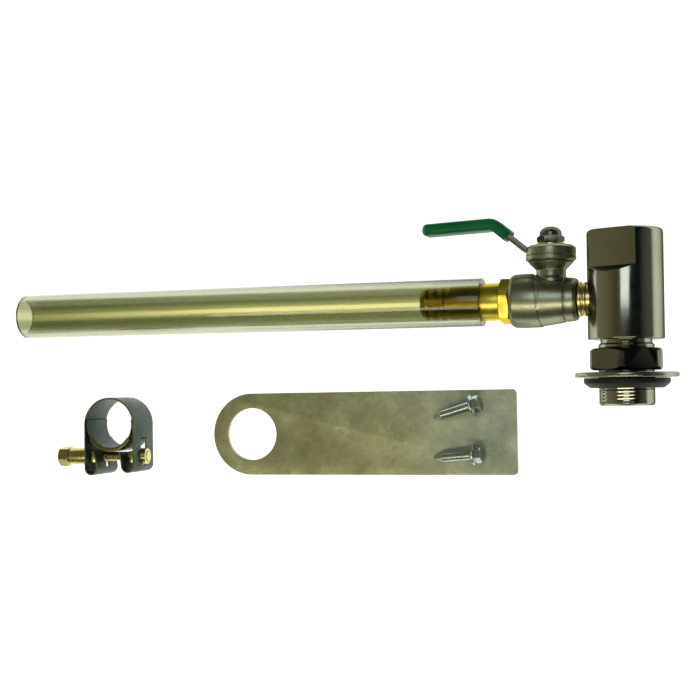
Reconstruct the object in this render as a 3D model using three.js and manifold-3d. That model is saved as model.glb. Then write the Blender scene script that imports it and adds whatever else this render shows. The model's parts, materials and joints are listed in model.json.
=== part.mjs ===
// A nursery watering wand with its fitting kit, laid out flat: a rigid clear tube on a hose barb, a mini
// ball valve with a lever, a turned outlet body with a threaded spigot, its locknut, flange washer and
// gasket, a bolt clamp for the tube, a mounting plate and two screws. Millimetres, +Z up off the surface.
import * as THREE from "three";
import { mergeVertices } from "three/addons/utils/BufferGeometryUtils.js";
import Module from "manifold-3d";

const wasm = await Module();
wasm.setup();

// ---- Driving dimensions. In the wand's own frame the tube runs along X, the spigot points to -Y, and the
// origin is where the two axes cross.
const GAP = 0.3; // between pieces that touch
const SIDES_LARGE = 36;
const SIDES_SMALL = 20;

const TUBE = { bore: 8, outer: 11, left: -303, right: -63.9 };
const BARB = { bore: 4.5, nose: -92.2, ribs: 3, ribPitch: 3.9, ribRadius: 7.5, rootRadius: 6.3, neck: 7.1 };
const BARB_COLLAR = { from: -63.6, to: -55.3, radius: 8.5 };
const BARB_HEX = { from: -55.3, to: -50.7, acrossFlats: 18.4 };
const WATERWAY = 4.6; // bore radius through the valve
const STEM_X = -32.6;
const BALL = { radius: 7, slotWidth: 2.6, slotFloor: 5 };
const STEM = { radius: 3, thread: 2.55, top: 30 };
const SEAT = { near: 3.2, far: 6.9, outer: 7, inner: WATERWAY };
const CAP = { from: -50.4, to: -39.3, radius: 12.2, pocket: 7.8, pocketDepth: 7.2, counterbore: 9.4 };
const VALVE = { joint: -39, right: -20.8, shoulder: 11.6, shoulderEnd: 10.2, groove: 9.5, end: 9.6 };
const CAVITY = { radius: 7.3, sleeve: 9, sleeveEnd: -40.6 };
const NECK = { radius: 6.6, flare: 9.6, top: 17, bore: 3.4, packingBore: 4.9, packingFloor: 11.6 };
const HUB = { from: 17.3, top: 24.5, radius: 11.2, chamfer: 1.6, crown: 1.3, bore: 2.95, recess: 8.4 };
const LEVER = { thickness: 2.6, width: 9, eyeRadius: 7.9, eyeFloor: 21.1, footX: -9.4 };
const LEVER_BEND = { x: -25.5, y: 35.1 };
const LEVER_TIP = { x: -56.7, y: 33.9 };
const HANDLE_NUT = { base: 25.8, hexHeight: 3.1, acrossFlats: 10.8, domeRadius: 4.9, top: 33.1 };
const SLEEVE = { thickness: 5.4, width: 12.4, start: 0.45, tip: 1.6 }; // start: a share of the slope
const PACKING = { inner: 3.3, outer: 4.6 };
const NIPPLE = { from: -24.3, to: -8.9, threadRadius: 6.5, ringRadius: 7.7, bodyThread: 7, bore: WATERWAY };
const BODY = { radius: 16.6, top: 30.1, bottom: -18.2, edge: 1.8, footEdge: 0.6 };
const FLATS = { half: 12.3, from: 13.6, runOut: 3.4, turn: 21 }; // wrench flats, turned from +Z to -X
const SPIGOT = { radius: 12.1, end: -47.3, chamfer: 1, relief: 11.2, reliefEnd: -20.2 };
const OUTLET = { bore: 8.4, top: 6 };
const NUT = { top: -22.2, bottom: -31.8, acrossFlats: 30, bore: 12.4 };
const FLANGE = { top: -32.7, bottom: -34.9, outer: 22.5, inner: 12.5 };
const GASKET = { top: -35.2, bottom: -39.6, outer: 18.75, inner: 12.5, edge: 2.6 };

const REST = { x: 133.4, y: 20.2 }; // where the axes cross on the surface, before centring
const CLAMP = { x: -117.8, y: -35.1, width: 22.4, band: 0.8, radius: 13.1 };
const LOOPS = {
  plain: { side: -1, radius: 3.2, y: -21.3, legX: 8.6, legY: -12.6 },
  threaded: { side: 1, radius: 3.2, y: -20.1, legX: 5.6, legY: -13.8 },
}; // each loop's radius and middle, and where its inner leg ends under the ring
const TONGUE_SLOT = { top: -6.6, bottom: -13.4, half: 3.2 };
const SQUARE_HOLE = { top: -18.4, bottom: -21, half: 2 };
const BOLT = { y: -15.9, radius: 2.3, head: -32, headTo: -26.6, acrossFlats: 9, end: 16.2 };
const SPACER_RADIUS = 4.2;
const BRIDGE = { radius: 12.1, thickness: 0.6, inset: 0.6, from: 168 };
const SADDLE = { inner: 11.3, outer: 13.3, from: 216 }; // the bridge's thick middle
const TRUNNION = { x: 10.6, thickness: 3, height: 5.6, length: 15, bossRadius: 3.9, bossEnd: 15.8 };
const LOOSE_TURN = 0.41; // degrees the loose pieces are turned on the surface
const PLATE = { x: -49.8, y: -40.3, width: 40, reach: 131.4, thickness: 3, hole: 12.8, corner: 2 };
const SCREW = { length: 24.8, headHeight: 4.2, flange: 5, flangeThickness: 1, acrossFlats: 7.2 };
const SHANK = { radius: 2.3, point: 5 };
const SCREW_PLACES = [
  { name: "screw_1", x: 91.8, y: 7, turn: 16 },
  { name: "screw_2", x: 91.6, y: -12, turn: 5 },
];

// ---- Shape helpers
const radians = THREE.MathUtils.degToRad;

/** A manifold solid from a closed three.js geometry. */
function solid(geometry) {
  const bare = geometry.clone();
  bare.deleteAttribute("normal");
  bare.deleteAttribute("uv");
  const merged = mergeVertices(bare, 1e-4);
  return new wasm.Manifold(
    new wasm.Mesh({
      numProp: 3,
      vertProperties: new Float32Array(merged.attributes.position.array),
      triVerts: new Uint32Array(merged.index.array),
    }),
  );
}

/** A buffer geometry from a manifold solid. */
function geometryOf(body) {
  const made = body.getMesh();
  const geometry = new THREE.BufferGeometry();
  geometry.setAttribute("position", new THREE.BufferAttribute(made.vertProperties, 3));
  geometry.setIndex(new THREE.BufferAttribute(made.triVerts, 1));
  geometry.computeVertexNormals();
  return geometry;
}

/** A turned solid about Y. The profile is a closed loop of [height, radius] in either direction. */
function turned(profile, sides = SIDES_LARGE) {
  const loop = profile.map(([height, radius]) => new THREE.Vector2(radius, height));
  if (THREE.ShapeUtils.area(loop) < 0) loop.reverse();
  loop.push(loop[0].clone());
  return solid(new THREE.LatheGeometry(loop, sides));
}

/** The same, about X: a positive height runs to +X. */
function turnedAlongX(profile, sides = SIDES_LARGE) {
  return turned(profile, sides).rotate([0, 0, -90]);
}

/** A plain solid rod along Y, from one height to another. */
function rod(radius, from, to, sides = SIDES_SMALL) {
  const geometry = new THREE.CylinderGeometry(radius, radius, to - from, sides);
  return solid(geometry.translate(0, (from + to) / 2, 0));
}

/** The same, along X. */
function rodAlongX(radius, from, to, sides = SIDES_SMALL) {
  return rod(radius, from, to, sides).rotate([0, 0, -90]);
}

/** A hexagonal prism along Y with a corner towards +Z, its corners chamfered at both ends. */
function hexagon(acrossFlats, from, to, chamfer) {
  const corner = acrossFlats / Math.sqrt(3);
  const prism = rod(corner, from, to, 6);
  const inner = corner - chamfer * 1.8;
  const rounding = turned(
    [[from, 0], [from, inner], [from + chamfer, corner], [to - chamfer, corner], [to, inner], [to, 0]],
    SIDES_SMALL,
  );
  return prism.intersect(rounding);
}

/** A box between two corners. */
function block(low, high) {
  const size = high.map((value, axis) => value - low[axis]);
  const centre = high.map((value, axis) => (value + low[axis]) / 2);
  return solid(new THREE.BoxGeometry(...size).translate(...centre));
}

/** A strip of the given thickness that follows a path in the XY plane, extruded along Z. */
function strip(path, thickness, from, to, divisions) {
  const apart = (p, i, all) => i === 0 || p.distanceTo(all[i - 1]) > 1e-3;
  const points = path.getPoints(divisions).filter(apart);
  const sideOf = (sign) =>
    points.map((point, i) => {
      const before = points[Math.max(i - 1, 0)];
      const after = points[Math.min(i + 1, points.length - 1)];
      const inward = point.clone().sub(before).normalize();
      const outward = after.clone().sub(point).normalize();
      const along = inward.add(outward).normalize();
      return new THREE.Vector2(-along.y, along.x).multiplyScalar((sign * thickness) / 2).add(point);
    });
  const outline = new THREE.Shape([...sideOf(1), ...sideOf(-1).reverse()]);
  const geometry = new THREE.ExtrudeGeometry(outline, { depth: to - from, bevelEnabled: false });
  return solid(geometry.translate(0, 0, from));
}

/** A named mesh with its own material. */
function piece(name, body, colour, roughness, metalness, more = {}) {
  const material = new THREE.MeshStandardMaterial({ color: colour, roughness, metalness, ...more });
  const mesh = new THREE.Mesh(geometryOf(body), material);
  mesh.name = name;
  return mesh;
}

const nickel = [0x9c9a8c, 0.42, 0.9];
const chrome = [0xc9c9c4, 0.08, 1];
const brass = [0xc8a032, 0.3, 1];
const steel = [0xa9aaa2, 0.4, 0.9];
const zinc = [0x8b9288, 0.45, 0.8];
const seal = [0xf0ede2, 0.6, 0];
const rubber = [0x121311, 0.8, 0];
const vinyl = [0x0f7a45, 0.35, 0];

// ---- The tube and its barb
function clearTube() {
  return turnedAlongX([
    [TUBE.left, TUBE.bore],
    [TUBE.left, TUBE.outer],
    [TUBE.right, TUBE.outer],
    [TUBE.right, TUBE.bore],
  ]);
}

function hoseBarb() {
  const ribs = Array.from({ length: BARB.ribs }, (_, i) => BARB.nose + i * BARB.ribPitch).flatMap((x) => [
    [x, BARB.rootRadius],
    [x + BARB.ribPitch * 0.75, BARB.ribRadius],
    [x + BARB.ribPitch * 0.85, BARB.ribRadius],
    [x + BARB.ribPitch - 0.05, BARB.rootRadius],
  ]);
  const neckStart = BARB.nose + BARB.ribs * BARB.ribPitch + 0.9;
  const thread = { to: CAP.from + CAP.pocketDepth - 0.4, radius: CAP.pocket - GAP };
  const turnedPart = turnedAlongX([
    ...ribs,
    [neckStart - 0.4, BARB.rootRadius],
    [neckStart, BARB.neck],
    [BARB_COLLAR.from, BARB.neck],
    [BARB_COLLAR.from, BARB_COLLAR.radius],
    [BARB_COLLAR.to, BARB_COLLAR.radius],
    [BARB_COLLAR.to, thread.radius],
    [thread.to, thread.radius],
    [thread.to, BARB.bore],
    [BARB.nose, BARB.bore],
  ]);
  const hex = hexagon(BARB_HEX.acrossFlats, BARB_HEX.from, BARB_HEX.to, 0.6).rotate([0, 0, -90]);
  return turnedPart.add(hex.subtract(rodAlongX(BARB.bore + 1, BARB_HEX.from - 1, BARB_HEX.to + 1)));
}

// ---- The ball valve
function valveEndCap() {
  const innerFace = STEM_X - SEAT.far - GAP;
  const body = turnedAlongX([
    [CAP.from, CAP.pocket],
    [CAP.from, CAP.radius - 1],
    [CAP.from + 1.1, CAP.radius - 0.1],
    [CAP.from + 3, CAP.radius],
    [CAP.to - 2, CAP.radius],
    [CAP.to, CAP.radius - 0.7],
    [CAP.to, CAP.counterbore],
    [CAVITY.sleeveEnd - 0.4, CAP.counterbore],
    [CAVITY.sleeveEnd - 0.4, SEAT.outer - 0.1],
    [innerFace, SEAT.outer - 0.1],
    [innerFace, WATERWAY],
    [CAP.from + CAP.pocketDepth, WATERWAY],
    [CAP.from + CAP.pocketDepth, CAP.pocket],
  ]);
  const neckClearance = rod(NECK.radius + 1 + GAP, 0, 20).translate([STEM_X, 0, 0]);
  return body.subtract(neckClearance.subtract(rodAlongX(CAP.counterbore, -60, 0)));
}

function valveBody() {
  const pocketFloor = NIPPLE.from - GAP;
  const barrel = turnedAlongX([
    [CAVITY.sleeveEnd, CAVITY.radius],
    [CAVITY.sleeveEnd, CAVITY.sleeve],
    [VALVE.joint, CAVITY.sleeve],
    [VALVE.joint, VALVE.shoulder],
    [STEM_X + 5.8, VALVE.shoulderEnd],
    [STEM_X + 6.2, VALVE.groove],
    [STEM_X + 6.8, VALVE.groove],
    [STEM_X + 7.2, VALVE.end + 0.3],
    [VALVE.right - 0.5, VALVE.end],
    [VALVE.right, VALVE.end - 0.5],
    [VALVE.right, NIPPLE.threadRadius + GAP],
    [pocketFloor, NIPPLE.threadRadius + GAP],
    [pocketFloor, WATERWAY],
    [STEM_X + SEAT.far + GAP, WATERWAY],
    [STEM_X + SEAT.far + GAP, CAVITY.radius],
  ]);
  const neck = turned(
    [
      [6, 0],
      [6, NECK.radius + 1],
      [10.5, NECK.radius + 1],
      [12.2, NECK.radius],
      [14.3, NECK.radius],
      [NECK.top - 1, NECK.flare],
      [NECK.top, NECK.flare],
      [NECK.top, 0],
    ],
    SIDES_SMALL,
  );
  const stemHole = turned(
    [[0, 0], [0, NECK.bore], [NECK.packingFloor, NECK.bore], [NECK.packingFloor, NECK.packingBore],
      [NECK.top + 1, NECK.packingBore], [NECK.top + 1, 0]],
    SIDES_SMALL,
  );
  const stemSide = neck.subtract(stemHole).translate([STEM_X, 0, 0]);
  const hollow = rodAlongX(CAVITY.radius + 0.8, CAVITY.sleeveEnd - 1, VALVE.right);
  return barrel.add(stemSide.subtract(hollow)).subtract(stemHole.translate([STEM_X, 0, 0]));
}

function ball() {
  const sphere = solid(new THREE.SphereGeometry(BALL.radius, SIDES_SMALL, 14));
  const slot = block([-9, BALL.slotFloor, -BALL.slotWidth / 2], [9, 9, BALL.slotWidth / 2]);
  return sphere
    .subtract(rodAlongX(WATERWAY - 0.3, -9, 9))
    .subtract(slot)
    .translate([STEM_X, 0, 0]);
}

/** One seat ring: side is -1 towards the tube, +1 towards the outlet. */
function seatRing(side) {
  const clearance = BALL.radius + GAP;
  const low = Math.acos(SEAT.inner / clearance);
  const high = Math.asin(SEAT.near / clearance);
  const dished = Array.from({ length: 5 }, (_, i) => {
    const angle = low + ((high - low) * i) / 4;
    return [clearance * Math.sin(angle), clearance * Math.cos(angle)];
  });
  const profile = [...dished, [SEAT.near, SEAT.outer], [SEAT.far, SEAT.outer], [SEAT.far, SEAT.inner]];
  return turnedAlongX(profile.map(([x, r]) => [STEM_X + side * x, r]), SIDES_SMALL);
}

function stem() {
  const foot = BALL.radius + GAP;
  const shaft = turned(
    [
      [foot, 0],
      [foot, STEM.radius],
      [NECK.packingFloor, STEM.radius],
      [NECK.packingFloor + 0.4, STEM.thread],
      [STEM.top - 0.6, STEM.thread],
      [STEM.top, STEM.thread - 0.5],
      [STEM.top, 0],
    ],
    SIDES_SMALL,
  );
  const tang = block([-2.4, BALL.slotFloor + GAP, -1], [2.4, foot + 0.1, 1]);
  return shaft.add(tang).translate([STEM_X, 0, 0]);
}

function stemRing(from, to, inner, outer) {
  const profile = [[from, inner], [from, outer], [to, outer], [to, inner]];
  return turned(profile, SIDES_SMALL).translate([STEM_X, 0, 0]);
}

function packingRing(from, to) {
  return stemRing(from, to, PACKING.inner, PACKING.outer);
}

function handleHub() {
  const cup = turned([
    [HUB.from, HUB.bore],
    [HUB.from, HUB.radius - HUB.chamfer],
    [HUB.from + HUB.chamfer, HUB.radius],
    [HUB.top - HUB.crown, HUB.radius],
    [HUB.top, HUB.recess + 0.9],
    [HUB.top, HUB.recess],
    [LEVER.eyeFloor - GAP, HUB.recess],
    [LEVER.eyeFloor - GAP, HUB.bore],
  ]);
  const half = LEVER.width / 2 + GAP;
  return cup.subtract(block([-15, LEVER.eyeFloor - GAP, -half], [0, 30, half])).translate([STEM_X, 0, 0]);
}

/** The middle line of the lever, from inside its eye to the tip, measured from the stem. */
function leverLine() {
  const eyeY = LEVER.eyeFloor + LEVER.thickness / 2;
  const tip = new THREE.Vector2(LEVER_TIP.x, LEVER_TIP.y);
  const foot = new THREE.Vector2(LEVER.footX, eyeY);
  const bend = new THREE.Vector2(LEVER_BEND.x, LEVER_BEND.y);
  const nearBend = bend.clone().lerp(foot, 0.16);
  const afterBend = bend.clone().lerp(tip, 0.09);
  const line = new THREE.Path();
  line.moveTo(-6, eyeY);
  line.lineTo(foot.x + 1.4, foot.y);
  line.quadraticCurveTo(foot.x, foot.y, foot.x - 0.95, foot.y + 0.9);
  line.lineTo(nearBend.x, nearBend.y);
  line.quadraticCurveTo(bend.x, bend.y, afterBend.x, afterBend.y);
  line.lineTo(tip.x, tip.y);
  return { line, bend, foot, nearBend, afterBend, tip };
}

function leverStrip() {
  const half = LEVER.width / 2;
  const arm = strip(leverLine().line, LEVER.thickness, -half, half, 6);
  const top = LEVER.eyeFloor + LEVER.thickness;
  const eye = rod(LEVER.eyeRadius, LEVER.eyeFloor, top);
  return arm.add(eye).subtract(rod(HUB.bore, 15, 30)).translate([STEM_X, 0, 0]);
}

function leverSleeve() {
  const { bend, foot, nearBend, afterBend, tip } = leverLine();
  const start = bend.clone().lerp(foot, SLEEVE.start);
  const end = tip.clone().add(tip.clone().sub(bend).setLength(SLEEVE.tip));
  const line = new THREE.Path();
  line.moveTo(start.x, start.y);
  line.lineTo(nearBend.x, nearBend.y);
  line.quadraticCurveTo(bend.x, bend.y, afterBend.x, afterBend.y);
  line.lineTo(end.x, end.y);
  const half = SLEEVE.width / 2;
  const outer = strip(line, SLEEVE.thickness, -half, half, 8);
  const plan = new THREE.Shape();
  const radius = half - 1.2;
  plan.moveTo(-half, -half);
  plan.lineTo(end.x + radius, -half);
  plan.quadraticCurveTo(end.x, -half, end.x, -half + radius);
  plan.lineTo(end.x, half - radius);
  plan.quadraticCurveTo(end.x, half, end.x + radius, half);
  plan.lineTo(-half, half);
  const trim = solid(new THREE.ExtrudeGeometry(plan, { depth: 60, bevelEnabled: false, curveSegments: 6 }));
  const slot = LEVER.width / 2 + GAP;
  const inside = strip(leverLine().line, LEVER.thickness + 2 * GAP, -slot, slot, 6);
  const room = LEVER.thickness / 2 + GAP;
  const tipRoom = block([tip.x - GAP, tip.y - room, -slot], [tip.x + 3, tip.y + room, slot]);
  return outer
    .intersect(trim.rotate([-90, 0, 0]))
    .subtract(inside)
    .subtract(tipRoom)
    .translate([STEM_X, 0, 0]);
}

function handleNut() {
  const { base, hexHeight, acrossFlats, domeRadius, top } = HANDLE_NUT;
  const hex = hexagon(acrossFlats, base, base + hexHeight, 0.5);
  const domeFoot = base + hexHeight + 0.8;
  const dome = turned(
    [
      [base + 1, 0],
      [base + 1, domeRadius + 0.2],
      ...Array.from({ length: 6 }, (_, i) => {
        const angle = (i * Math.PI) / 10;
        return [domeFoot + (top - domeFoot) * Math.sin(angle), domeRadius * Math.cos(angle)];
      }),
    ],
    SIDES_SMALL,
  );
  const threadRoom = rod(STEM.thread + GAP, base - 1, STEM.top + GAP);
  return hex.add(dome).subtract(threadRoom).translate([STEM_X, 0, 0]);
}

// ---- The nipple and the outlet body
function nipple() {
  const bead = (x) => [
    [x, NIPPLE.ringRadius - 0.8],
    [x + 0.4, NIPPLE.ringRadius],
    [x + 1.3, NIPPLE.ringRadius],
    [x + 1.7, NIPPLE.ringRadius - 0.8],
  ];
  return turnedAlongX([
    [NIPPLE.from, NIPPLE.bore],
    [NIPPLE.from, NIPPLE.threadRadius],
    [VALVE.right + GAP, NIPPLE.threadRadius],
    ...bead(VALVE.right + GAP),
    ...bead(VALVE.right + 2.4),
    [-BODY.radius + 0.8, NIPPLE.bodyThread],
    [NIPPLE.to, NIPPLE.bodyThread],
    [NIPPLE.to, NIPPLE.bore],
  ]);
}

/** The pair of wrench flats milled on the top of the body, with sloping run-outs. */
function wrenchFlats() {
  const side = new THREE.Shape();
  side.moveTo(FLATS.half, BODY.top + 1);
  side.lineTo(FLATS.half, FLATS.from);
  side.lineTo(BODY.radius + 1, FLATS.from - FLATS.runOut);
  side.lineTo(BODY.radius + 1, BODY.top + 1);
  const depth = 2 * BODY.radius + 2;
  const cut = new THREE.ExtrudeGeometry(side, { depth, bevelEnabled: false });
  const front = solid(cut.translate(0, 0, -depth / 2)).rotate([0, -90 - FLATS.turn, 0]);
  return front.add(front.rotate([0, 180, 0]));
}

function outletBody() {
  const edge = Array.from({ length: 4 }, (_, i) => {
    const angle = (i * Math.PI) / 6;
    return [BODY.top - BODY.edge * (1 - Math.sin(angle)), BODY.radius - BODY.edge * (1 - Math.cos(angle))];
  });
  const outside = turned([
    [SPIGOT.end, 0],
    [SPIGOT.end, SPIGOT.radius - SPIGOT.chamfer],
    [SPIGOT.end + SPIGOT.chamfer, SPIGOT.radius],
    [SPIGOT.reliefEnd, SPIGOT.radius],
    [SPIGOT.reliefEnd + 0.5, SPIGOT.relief],
    [BODY.bottom, SPIGOT.relief],
    [BODY.bottom, BODY.radius - BODY.footEdge],
    [BODY.bottom + BODY.footEdge, BODY.radius],
    ...edge,
    [BODY.top, 0],
  ]);
  const outletBore = rod(OUTLET.bore, SPIGOT.end - 1, OUTLET.top);
  const inletThread = rodAlongX(NIPPLE.bodyThread + GAP, -BODY.radius - 1, NIPPLE.to + GAP);
  const inlet = rodAlongX(WATERWAY, -BODY.radius, 0);
  return outside.subtract(wrenchFlats()).subtract(outletBore).subtract(inletThread).subtract(inlet);
}

function lockNut() {
  return hexagon(NUT.acrossFlats, NUT.bottom, NUT.top, 1.1).subtract(rod(NUT.bore, -40, 0, SIDES_LARGE));
}

function flangeWasher() {
  return turned([
    [FLANGE.bottom, FLANGE.inner],
    [FLANGE.bottom, FLANGE.outer - 0.3],
    [FLANGE.bottom + 0.3, FLANGE.outer],
    [FLANGE.top - 0.3, FLANGE.outer],
    [FLANGE.top, FLANGE.outer - 0.3],
    [FLANGE.top, FLANGE.inner],
  ]);
}

function rubberGasket() {
  return turned([
    [GASKET.bottom, GASKET.inner],
    [GASKET.bottom, GASKET.outer - GASKET.edge],
    [GASKET.bottom + GASKET.edge * 0.35, GASKET.outer - GASKET.edge * 0.35],
    [GASKET.bottom + GASKET.edge, GASKET.outer],
    [GASKET.top, GASKET.outer],
    [GASKET.top, GASKET.inner],
  ]);
}

// ---- The tube clamp, lying on its side: the ring's axis is Z, and the bolt runs along X below the ring
function clampBand() {
  const { radius, width, band } = CLAMP;
  const { plain, threaded } = LOOPS;
  const middle = width / 2;
  const path = new THREE.Path();
  path.moveTo(-plain.legX, plain.legY);
  path.lineTo(-radius + 2 * plain.radius, plain.y);
  path.absarc(-radius + plain.radius, plain.y, plain.radius, 0, -Math.PI, true);
  path.lineTo(-radius, 0);
  path.absarc(0, 0, radius, Math.PI, 0, true);
  path.lineTo(radius, threaded.y);
  path.absarc(radius - threaded.radius, threaded.y, threaded.radius, 0, -Math.PI, true);
  path.lineTo(threaded.legX, threaded.legY);
  const holes = [
    atBolt(rodAlongX(BOLT.radius + 0.6, -20, 20)),
    atBolt(rodAlongX(TRUNNION.bossRadius + 0.4, radius - 1, 20)),
    block(
      [radius - 1, TONGUE_SLOT.bottom, middle - TONGUE_SLOT.half],
      [radius + 1, TONGUE_SLOT.top, middle + TONGUE_SLOT.half],
    ),
    block(
      [-radius + plain.radius, SQUARE_HOLE.bottom, middle - SQUARE_HOLE.half],
      [0, SQUARE_HOLE.top, middle + SQUARE_HOLE.half],
    ),
  ];
  return holes.reduce((body, hole) => body.subtract(hole), strip(path, band, 0, width, 12));
}

/** Moves a solid made about the X axis to the bolt's axis. */
function atBolt(body) {
  return body.translate([0, BOLT.y, CLAMP.width / 2]);
}

/** The bridge that closes the ring between the legs: a thin arc with a thick saddle in its middle. */
function clampBridge() {
  const arc = (radius, thickness, from, divisions) => {
    const path = new THREE.Path();
    path.absarc(0, 0, radius, radians(from), radians(540 - from), false);
    return strip(path, thickness, BRIDGE.inset, CLAMP.width - BRIDGE.inset, divisions);
  };
  const saddleRadius = (SADDLE.inner + SADDLE.outer) / 2;
  return arc(BRIDGE.radius, BRIDGE.thickness, BRIDGE.from, 16).add(
    arc(saddleRadius, SADDLE.outer - SADDLE.inner, SADDLE.from, 12),
  );
}

/** One trunnion block in its loop; the threaded one has a boss that shows in the band's outer hole. */
function trunnion(side, threaded) {
  const { thickness, height, length } = TRUNNION;
  const x = side * TRUNNION.x;
  const middle = CLAMP.width / 2;
  let body = block(
    [x - thickness / 2, BOLT.y - height / 2, middle - length / 2],
    [x + thickness / 2, BOLT.y + height / 2, middle + length / 2],
  );
  if (threaded) body = body.add(atBolt(rodAlongX(TRUNNION.bossRadius, x, TRUNNION.bossEnd)));
  return body.subtract(atBolt(rodAlongX(BOLT.radius + GAP, -20, 20)));
}

function clampBolt() {
  const shank = rodAlongX(BOLT.radius, BOLT.head + 1, BOLT.end);
  const head = hexagon(BOLT.acrossFlats, BOLT.head, BOLT.headTo, 0.6).rotate([0, 0, -90]);
  return atBolt(shank.add(head));
}

function boltSpacer() {
  const inner = BOLT.radius + GAP;
  const outer = SPACER_RADIUS;
  const end = -CLAMP.radius - CLAMP.band / 2 - GAP;
  const from = BOLT.headTo + GAP;
  return atBolt(turnedAlongX([[from, inner], [from, outer], [end, outer], [end, inner]], SIDES_SMALL));
}

// ---- The mounting plate and its screws. The plate's origin is the middle of its hole, on the surface
function mountingPlate() {
  const half = PLATE.width / 2;
  const outline = new THREE.Shape();
  outline.absarc(0, 0, half, Math.PI / 2, (3 * Math.PI) / 2, false);
  outline.lineTo(PLATE.reach - PLATE.corner, -half);
  outline.absarc(PLATE.reach - PLATE.corner, -half + PLATE.corner, PLATE.corner, -Math.PI / 2, 0, false);
  outline.absarc(PLATE.reach - PLATE.corner, half - PLATE.corner, PLATE.corner, 0, Math.PI / 2, false);
  outline.closePath();
  const hole = new THREE.Path();
  hole.absarc(0, 0, PLATE.hole, 0, 2 * Math.PI, true);
  outline.holes.push(hole);
  return solid(
    new THREE.ExtrudeGeometry(outline, { depth: PLATE.thickness, bevelEnabled: false, curveSegments: 14 }),
  );
}

/** A hex washer head screw along X, its tip at the origin. */
function screw() {
  const headFrom = SCREW.length - SCREW.headHeight;
  const shank = turnedAlongX(
    [
      [0, 0],
      [0.3, 0.5],
      [SHANK.point, SHANK.radius],
      [headFrom, SHANK.radius],
      [headFrom, SCREW.flange - 0.3],
      [headFrom + 0.4, SCREW.flange],
      [headFrom + SCREW.flangeThickness, SCREW.flange - 0.4],
      [headFrom + SCREW.flangeThickness, 0],
    ],
    SIDES_SMALL,
  );
  const head = hexagon(SCREW.acrossFlats, headFrom + 0.5, SCREW.length, 0.5).rotate([0, 0, -90]);
  return shank.add(head);
}

// ---- The assembly
const wandPieces = new THREE.Group();
wandPieces.name = "wand";
wandPieces.add(
  piece("clear_tube", clearTube(), 0xdfe3c0, 0.08, 0, { transparent: true, opacity: 0.4 }),
  piece("hose_barb", hoseBarb(), ...brass),
  piece("valve_end_cap", valveEndCap(), ...nickel),
  piece("valve_body", valveBody(), ...nickel),
  piece("valve_ball", ball(), ...chrome),
  piece("ball_seat_inlet", seatRing(-1), ...seal),
  piece("ball_seat_outlet", seatRing(1), ...seal),
  piece("valve_stem", stem(), ...brass),
  piece("stem_thrust_washer", packingRing(NECK.packingFloor + GAP, NECK.packingFloor + 1.3), ...seal),
  piece("stem_packing", packingRing(NECK.packingFloor + 1.6, NECK.top - GAP), ...seal),
  piece("handle_hub", handleHub(), ...nickel),
  piece("lever_strip", leverStrip(), ...steel),
  piece("lever_sleeve", leverSleeve(), ...vinyl),
  piece(
    "handle_washer",
    stemRing(LEVER.eyeFloor + LEVER.thickness + GAP, HANDLE_NUT.base - GAP, HUB.bore, 6.6),
    ...steel,
  ),
  piece("handle_nut", handleNut(), ...nickel),
  piece("brass_nipple", nipple(), ...brass),
  piece("outlet_body", outletBody(), ...chrome),
  piece("lock_nut", lockNut(), ...chrome),
  piece("flange_washer", flangeWasher(), ...steel),
  piece("rubber_gasket", rubberGasket(), ...rubber),
);

// The wand rests on the flange washer's rim and the far end of the tube, with its outlet level.
const pitch = Math.asin((FLANGE.outer - TUBE.outer) / -TUBE.left);
wandPieces.rotation.y = -pitch;
wandPieces.position.set(REST.x, REST.y, FLANGE.outer);

const clampPieces = new THREE.Group();
clampPieces.name = "clamp";
clampPieces.add(
  piece("clamp_band", clampBand(), ...zinc),
  piece("clamp_bridge", clampBridge(), ...zinc),
  piece("trunnion_plain", trunnion(-1, false), ...brass),
  piece("trunnion_threaded", trunnion(1, true), ...brass),
  piece("clamp_bolt", clampBolt(), ...brass),
  piece("bolt_spacer", boltSpacer(), ...brass),
);
clampPieces.position.set(CLAMP.x, CLAMP.y, 0);
clampPieces.rotation.z = radians(LOOSE_TURN);

const platePieces = new THREE.Group();
platePieces.name = "plate";
platePieces.add(piece("mounting_plate", mountingPlate(), ...zinc));
// A screw lies on its flange's rim and on the shoulder behind its point.
const shankReach = SCREW.length - SCREW.headHeight - SHANK.point;
const screwTilt = Math.atan2(SCREW.flange - SHANK.radius, shankReach);
const tipHeight = SHANK.radius * Math.cos(screwTilt) - SHANK.point * Math.sin(screwTilt);
for (const place of SCREW_PLACES) {
  const mesh = piece(place.name, screw(), ...steel);
  mesh.rotation.set(0, -screwTilt, radians(place.turn), "ZYX");
  mesh.position.set(place.x, place.y, PLATE.thickness + GAP + tipHeight);
  platePieces.add(mesh);
}
platePieces.position.set(PLATE.x, PLATE.y, 0);
platePieces.rotation.z = radians(LOOSE_TURN);

// The whole kit is centred over its footprint, with its lowest point at zero.
const kit = new THREE.Group();
kit.name = "kit";
kit.add(wandPieces, clampPieces, platePieces);
kit.updateMatrixWorld(true);
const box = new THREE.Box3().setFromObject(kit, true);
const centre = box.getCenter(new THREE.Vector3());
kit.position.set(-centre.x, -centre.y, -box.min.z);

export default kit;
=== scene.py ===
import json
import math

import bmesh
import bpy
from mathutils import Matrix, Vector


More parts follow.
